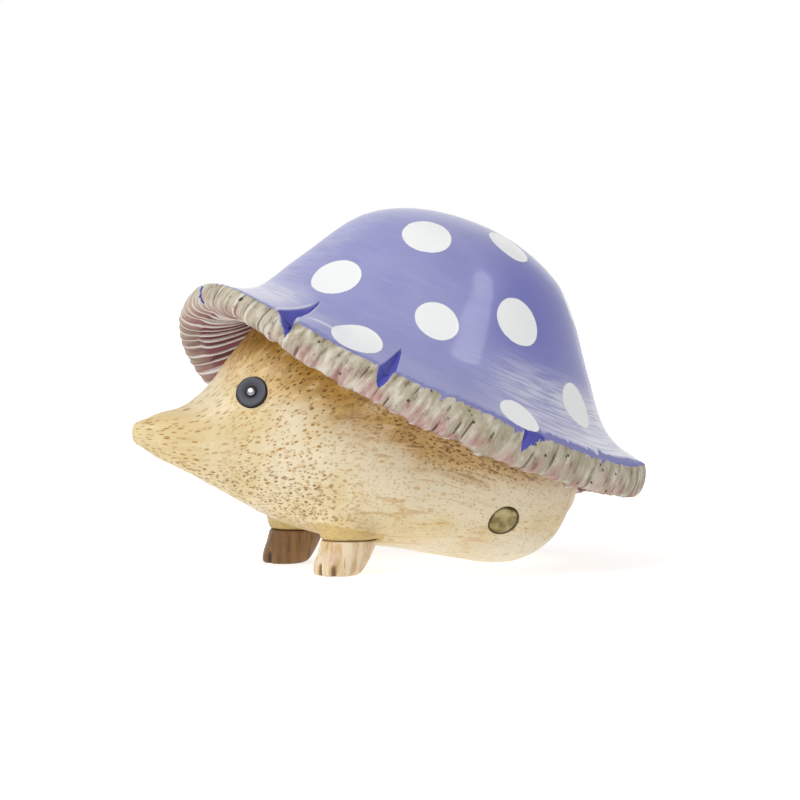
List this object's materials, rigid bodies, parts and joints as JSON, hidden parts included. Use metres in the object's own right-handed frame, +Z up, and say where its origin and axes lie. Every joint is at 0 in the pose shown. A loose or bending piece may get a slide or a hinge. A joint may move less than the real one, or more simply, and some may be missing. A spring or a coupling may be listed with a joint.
{
  "type": "hedgehog figurine",
  "caption": "Carved wooden hedgehog ornament wearing a painted, spotted toadstool cap with a gilled rim, resting on its feet and belly.",
  "frame": {"origin": "on the table, under the middle of the whole figure", "axes": "+Z up, the nose points along -Y, the hedgehog's left side is +X"},
  "size_m": [0.1088, 0.1348, 0.0893],
  "materials": {
    "body_wood": "clear satin lacquer over straw-coloured bamboo root with brown dashes",
    "cap_paint": "gloss periwinkle paint with white spots, bare beige gilled rim",
    "pale_foot_wood": "satin lacquer over pale streaked wood",
    "dark_foot_wood": "satin lacquer over dark brown wood",
    "dowel_wood": "bare turned wood",
    "eye_disc": "satin dark grey",
    "eye_pin": "polished pin head",
    "stud_brass": "aged brass, plain dome"
  },
  "bodies": {
    "root": {"body": "body_wood", "cap": "cap_paint", "cap_dowel_front": "dowel_wood", "cap_dowel_rear": "dowel_wood", "left_foot": "pale_foot_wood", "right_foot": "dark_foot_wood", "left_foot_dowel": "dowel_wood", "right_foot_dowel": "dowel_wood", "left_eye_disc": "eye_disc", "right_eye_disc": "eye_disc", "left_eye_pin": "eye_pin", "right_eye_pin": "eye_pin", "brass_stud": "stud_brass"}
  },
  "joints": []
}
